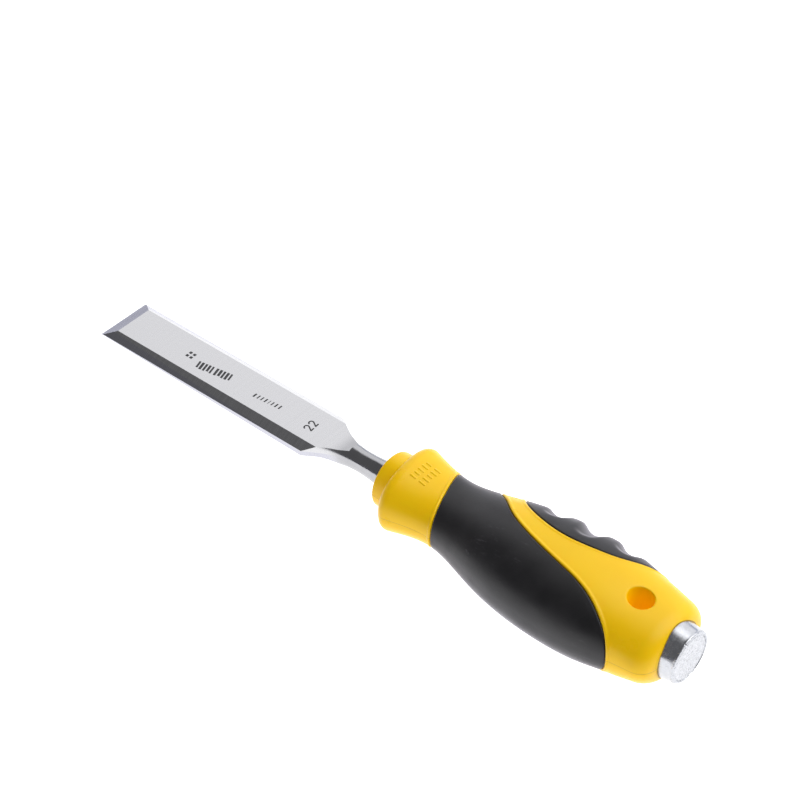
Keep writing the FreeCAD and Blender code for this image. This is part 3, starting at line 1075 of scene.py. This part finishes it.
def rubber_material():
    """Soft black grip: matt, faintly mottled, with pale rubbed marks."""
    material, nodes, shader, place = new_material("soft_grip")
    tone = nodes.mix(nodes.span(nodes.noise(place, 60.0, 5.0, 0.6), 0.35, 0.7), *RUBBER)
    streaks = nodes.noise(nodes.scaled(place, (180.0, 900.0, 900.0)), 1.0, 4.0, 0.65)
    patches = nodes.span(nodes.noise(place, 38.0, 3.0), 0.52, 0.66)
    rubbed = nodes.times(nodes.span(streaks, 0.58, 0.72), patches)
    tone = nodes.mix(nodes.times(rubbed, 0.5), tone, RUBBED)
    normal = nodes.bump(nodes.noise(place, 2600.0, 2.0), 0.03 * MM, 0.5)
    normal = nodes.bump(nodes.noise(place, 420.0, 3.0), 0.05 * MM, 0.35, normal)
    gloss = nodes.span(nodes.noise(place, 120.0, 4.0), 0.3, 0.7, 0.40, 0.52)
    set_shader(nodes, shader, Base_Color=tone, Roughness=gloss, Normal=normal, Specular_IOR_Level=0.36)
    set_shader(nodes, shader, Sheen_Weight=1.0, Sheen_Roughness=0.32, Sheen_Tint=RUBBER_SHEEN)
    return material


def blade_material():
    """Ground and lacquered tool steel: fine lines straight across the blade, a polished neck, and
    painted reflections on the cutting bevel and the lower side faces.
    """
    material, nodes, shader, place = new_material("ground_steel")
    along = nodes.dot(place, (1, 0, 0))
    ground = nodes.span(along, GROUND_X[0] * MM, GROUND_X[1] * MM)
    across = nodes.noise(nodes.scaled(place, (4200.0, 26.0, 26.0)), 1.0, 3.0, 0.6)
    broad = nodes.noise(nodes.scaled(place, (700.0, 12.0, 12.0)), 1.0, 3.0, 0.6)
    lines = nodes.times(nodes.math("ADD", across, broad), 0.5)
    tone = nodes.mix(nodes.span(lines, 0.36, 0.62), *GROUND_STEEL)
    tone = nodes.mix(ground, nodes.mix(nodes.noise(place, 300.0), *POLISHED_STEEL), tone)
    # Painted reflection: the cutting bevel, picked out by the way it faces, gets a darker bluish tone
    facing = nodes.dot(nodes.new("TexCoord").outputs["Normal"], CUTTING_BEVEL_NORMAL)
    front = nodes.span(along, CUTTING_BEVEL_X[0] * MM, CUTTING_BEVEL_X[1] * MM)
    bevel = nodes.times(nodes.span(facing, 0.955, 0.975), front)
    tone = nodes.mix(bevel, tone, BEVEL_PAINTED_REFLECTION)
    # Painted reflection: the lower side faces of the ground blade get a bluish tone
    land = nodes.fade(nodes.dot(place, (0, 0, 1)), 0.0, LAND_Z)
    land = nodes.times(land, nodes.math("SUBTRACT", ground, bevel))
    tone = nodes.mix(land, tone, LAND_PAINTED_REFLECTION)
    rough = nodes.times(nodes.span(lines, 0.35, 0.65, 0.20, 0.30), ground)
    smooth = nodes.span(nodes.noise(place, 400.0, 4.0), 0.3, 0.7, 0.13, 0.20)
    smooth = nodes.times(smooth, nodes.math("SUBTRACT", 1.0, ground))
    gloss = nodes.math("ADD", rough, smooth)
    normal = nodes.bump(nodes.times(lines, ground), 0.006 * MM, 0.3)
    normal = nodes.bump(nodes.noise(place, 700.0, 3.0), 0.01 * MM, 0.3, normal)
    set_shader(nodes, shader, Base_Color=tone, Metallic=1.0, Roughness=gloss, Normal=normal)
    return material


def plated_material():
    """Zinc-plated cap: bright sides, a face pitted and scratched by the hammer."""
    material, nodes, shader, place = new_material("zinc_plate")
    face = nodes.fade(nodes.dot(place, (1, 0, 0)), CAP_LOW[0], CAP_FACE_FADE)
    pits = nodes.span(nodes.cells(place, 900.0), 0.05, 0.42)
    bruises = nodes.noise(place, 520.0, 4.0, 0.6)
    scratches = nodes.noise(nodes.scaled(place, (1.0, 700.0, 4200.0)), 1.0, 2.0, 0.6)
    height = nodes.math("ADD", nodes.times(pits, 0.7), nodes.times(scratches, 0.5))
    height = nodes.times(nodes.math("ADD", height, bruises), face)
    normal = nodes.bump(height, 0.22 * MM, 1.0)
    turned = nodes.noise(nodes.scaled(place, (3800.0, 60.0, 60.0)), 1.0, 2.0)
    normal = nodes.bump(turned, 0.012 * MM, 0.4, normal)
    tone = nodes.mix(bruises, *PLATE)
    gloss = nodes.span(nodes.noise(place, 600.0, 4.0), 0.3, 0.7, 0.16, 0.30)
    set_shader(nodes, shader, Base_Color=tone, Metallic=1.0, Roughness=gloss, Normal=normal)
    return material


def ink_material():
    """Matt etched marks on the blade."""
    material, nodes, shader, place = new_material("etched_marks")
    tone = nodes.mix(nodes.span(nodes.noise(place, 1500.0, 4.0), 0.35, 0.7), *INK)
    set_shader(nodes, shader, Base_Color=tone, Roughness=0.6, Metallic=0.2)
    return material


# ---------------------------------------------------------------- cap, marks and raised bars

def turned_piece(name, profile, steps):
    """A closed body of revolution about X from a profile of (x, radius), axis to axis."""
    turn = np.linspace(0, 2 * math.pi, steps + 1)[:-1]
    points, faces = [], []
    for x, r in profile:
        points.append(np.stack([np.full_like(turn, x), r * np.cos(turn), r * np.sin(turn)], 1))
    points = np.concatenate(points) * MM
    for k in range(len(profile) - 1):
        for i in range(steps):
            j = (i + 1) % steps
            a, b = k * steps, (k + 1) * steps
            faces.append((a + i, a + j, b + j, b + i))
    return mesh_object(name, points, faces, sharp=32.0)


def make_cap():
    """Striking cap: tapered side, soft rim, a ring groove, a face dished a little, and its spigot."""
    face_x = CAP_LOW[0]
    base_x = BUTT_X + CAP_SEAT
    rim_radius = CAP_RADIUS - CAP_TAPER
    centre = (face_x + CAP_EDGE, rim_radius - CAP_EDGE)
    rim = arc(centre, CAP_EDGE, 90, 180, CAP_RIM_POINTS)
    side_top = (base_x - 2 * CAP_CHAMFER, CAP_RADIUS)
    profile = [(CAP_HIGH[0], 0.0), (CAP_HIGH[0], SPIGOT), (base_x, SPIGOT)]
    profile += [(base_x, CAP_RADIUS - CAP_CHAMFER), (base_x - CAP_CHAMFER, CAP_RADIUS)]
    profile += list(np.linspace(side_top, rim[0], CAP_SIDE_POINTS)[:-1])
    profile += list(rim)
    profile += [(face_x + sink, rim_radius - CAP_EDGE - inset) for sink, inset in CAP_GROOVE]
    profile += [(face_x + sink, radius) for sink, radius in CAP_DISH]
    return turned_piece("strike_cap_skin", profile, CAP_STEPS)


def blade_top(x):
    """Height of the blade's ground top face."""
    return TIP_TOP_Z + (HEEL_TOP_Z - TIP_TOP_Z) * (TIP_TOP_X - x) / (TIP_TOP_X - HEEL_X)


def slabs(name, outlines):
    """Thin solid marks let into the blade's top face, from outlines in plan view."""
    points, faces = [], []
    for outline in outlines:
        n = len(outline)
        start = len(points)
        for lift in (-MARK_SINK, MARK_RISE):
            points += [(x * MM, y * MM, (blade_top(x) + lift) * MM) for x, y in outline]
        faces.append(tuple(start + n + i for i in range(n)))
        faces.append(tuple(start + i for i in reversed(range(n))))
        for i in range(n):
            j = (i + 1) % n
            faces.append((start + i, start + j, start + n + j, start + n + i))
    return mesh_object(name, points, faces, weld=1e-9)


def stroke(path, width):
    """Outline pieces of a pen stroke: one quad for each straight step of the path, a little long."""
    pieces = []
    for (x1, y1), (x2, y2) in zip(path, path[1:]):
        length = math.hypot(x2 - x1, y2 - y1)
        ux, uy = (x2 - x1) / length, (y2 - y1) / length
        nx, ny = -uy * width / 2, ux * width / 2
        ex, ey = ux * width * STROKE_OVERLAP, uy * width * STROKE_OVERLAP
        pieces.append([
            (x1 - ex + nx, y1 - ey + ny),
            (x1 - ex - nx, y1 - ey - ny),
            (x2 + ex - nx, y2 + ey - ny),
            (x2 + ex + nx, y2 + ey + ny),
        ])
    return pieces


def placed(outlines, x, y, turn):
    """Outlines drawn upright at the origin, turned and moved onto the blade."""
    c, s = math.cos(math.radians(turn)), math.sin(math.radians(turn))
    return [[(x + c * u - s * v, y + s * u + c * v) for u, v in o] for o in outlines]


def figure_two(x):
    """Strokes of a plain figure 2 whose left side is at x."""
    radius = FIGURE_WIDTH / 2
    centre = (radius, FIGURE_HEIGHT - radius)
    bowl = arc(centre, radius, *FIGURE_BOWL_TURN, FIGURE_BOWL_POINTS)
    path = [tuple(p) for p in bowl] + [FIGURE_FOOT, (FIGURE_WIDTH, FIGURE_FOOT[1])]
    return stroke([(x + u, v) for u, v in path], FIGURE_STROKE)


def leaning(x, width, foot, height, lean):
    """Outline of one upright bar whose top leans sideways."""
    return [(x, foot), (x + width, foot), (x + width + lean, height), (x + lean, height)]


def word_bars():
    """Two words of leaning bars, of which every third starts a little higher."""
    bars = []
    at = 0.0
    for k, width in enumerate(BAR_WIDTHS):
        foot = 0.0 if k % SHORT_EVERY else SHORT_BAR_FOOT
        bars.append(leaning(at, width, foot, BAR_HEIGHT, BAR_LEAN))
        at += width + BAR_SPACE
        if k == WORD_BARS - 1:
            at += WORD_SPACE
    return bars


def emblem():
    """Four small diamonds round a centre."""
    quarters = np.radians([0, 90, 180, 270])
    petals = []
    for turn in quarters:
        x, y = EMBLEM_REACH * math.cos(turn), EMBLEM_REACH * math.sin(turn)
        petals.append([
            (x + EMBLEM_PETAL * math.cos(turn + a), y + EMBLEM_PETAL * math.sin(turn + a))
            for a in quarters])
    return petals


def dashes():
    """A row of small leaning dashes."""
    row = []
    at = 0.0
    for width in DASH_WIDTHS:
        row.append(leaning(at, width, 0.0, DASH_HEIGHT, DASH_LEAN))
        at += width + DASH_SPACE
    return row


def make_marks():
    """The size figures and plain printed marks, standing in for the maker's print."""
    outlines = placed(figure_two(0.0) + figure_two(FIGURE_PITCH), *FIGURE_PLACE)
    outlines += placed(word_bars(), *BAR_PLACE)
    outlines += placed(emblem(), *EMBLEM_PLACE)
    outlines += placed(dashes(), *DASH_PLACE)
    return slabs("blade_marks", outlines)


def make_raised_bars():
    """Two rows of low bars on top of the collar, in place of its raised lettering."""
    points, faces = [], []
    for row, (middle, count) in enumerate(RAISED_ROWS):
        for k in range(count):
            short = (k + row) % SHORT_EVERY == 0
            length = RAISED_LENGTH * (RAISED_SHORT if short else 1.0)
            x = middle + length * np.array([-0.5, 0.5, 0.5, -0.5])
            across = (k - (count - 1) / 2) * RAISED_PITCH + RAISED_Y
            y = across + RAISED_WIDTH * np.array([-0.5, -0.5, 0.5, 0.5])
            x = station(x, y)
            s, t = along_at(x), turn_at(y / radius_at(x), x)
            top_s = s + (np.mean(s) - s) * RAISED_INSET
            top_t = t + (np.mean(t) - t) * RAISED_INSET
            start = len(points)
            points += (surface(s, t, -RAISED_SINK) * MM).tolist()
            points += (surface(s, t, RAISED_FOOT) * MM).tolist()
            points += (surface(top_s, top_t, RAISED_RISE) * MM).tolist()
            faces.append((start + 3, start + 2, start + 1, start))
            faces.append((start + 8, start + 9, start + 10, start + 11))
            for a in (start, start + 4):
                for i in range(4):
                    j = (i + 1) % 4
                    faces.append((a + i, a + j, a + 4 + j, a + 4 + i))
    return mesh_object("collar_bars", points, faces, weld=1e-9, sharp=60.0)


# ---------------------------------------------------------------- assembly

yellow = yellow_material()
black = rubber_material()
steel = blade_material()
plated = plated_material()
ink = ink_material()

made = (
    (make_body(), "handle_body", "yellow_plastic", yellow),
    (make_sleeve(), "grip_sleeve", "black_rubber", black),
    (make_pad(), "finger_pad", "black_rubber", black),
    (make_cap(), "strike_cap", "plated_steel", plated),
    (make_raised_bars(), None, "yellow_plastic", yellow),
    (make_marks(), None, "blade_steel", ink),
)
for piece, node, slot, material in made:
    piece.data.materials.append(material)
    if node:
        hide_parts(node)
    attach(piece, "root")
for node, material in (("blade", steel), ("inner_core", yellow)):
    piece = frame["nodes"][node]
    piece.data.materials.clear()
    piece.data.materials.append(material)

bpy.context.scene.view_settings.view_transform = "Standard"
make_camera()
make_floor()
make_world()
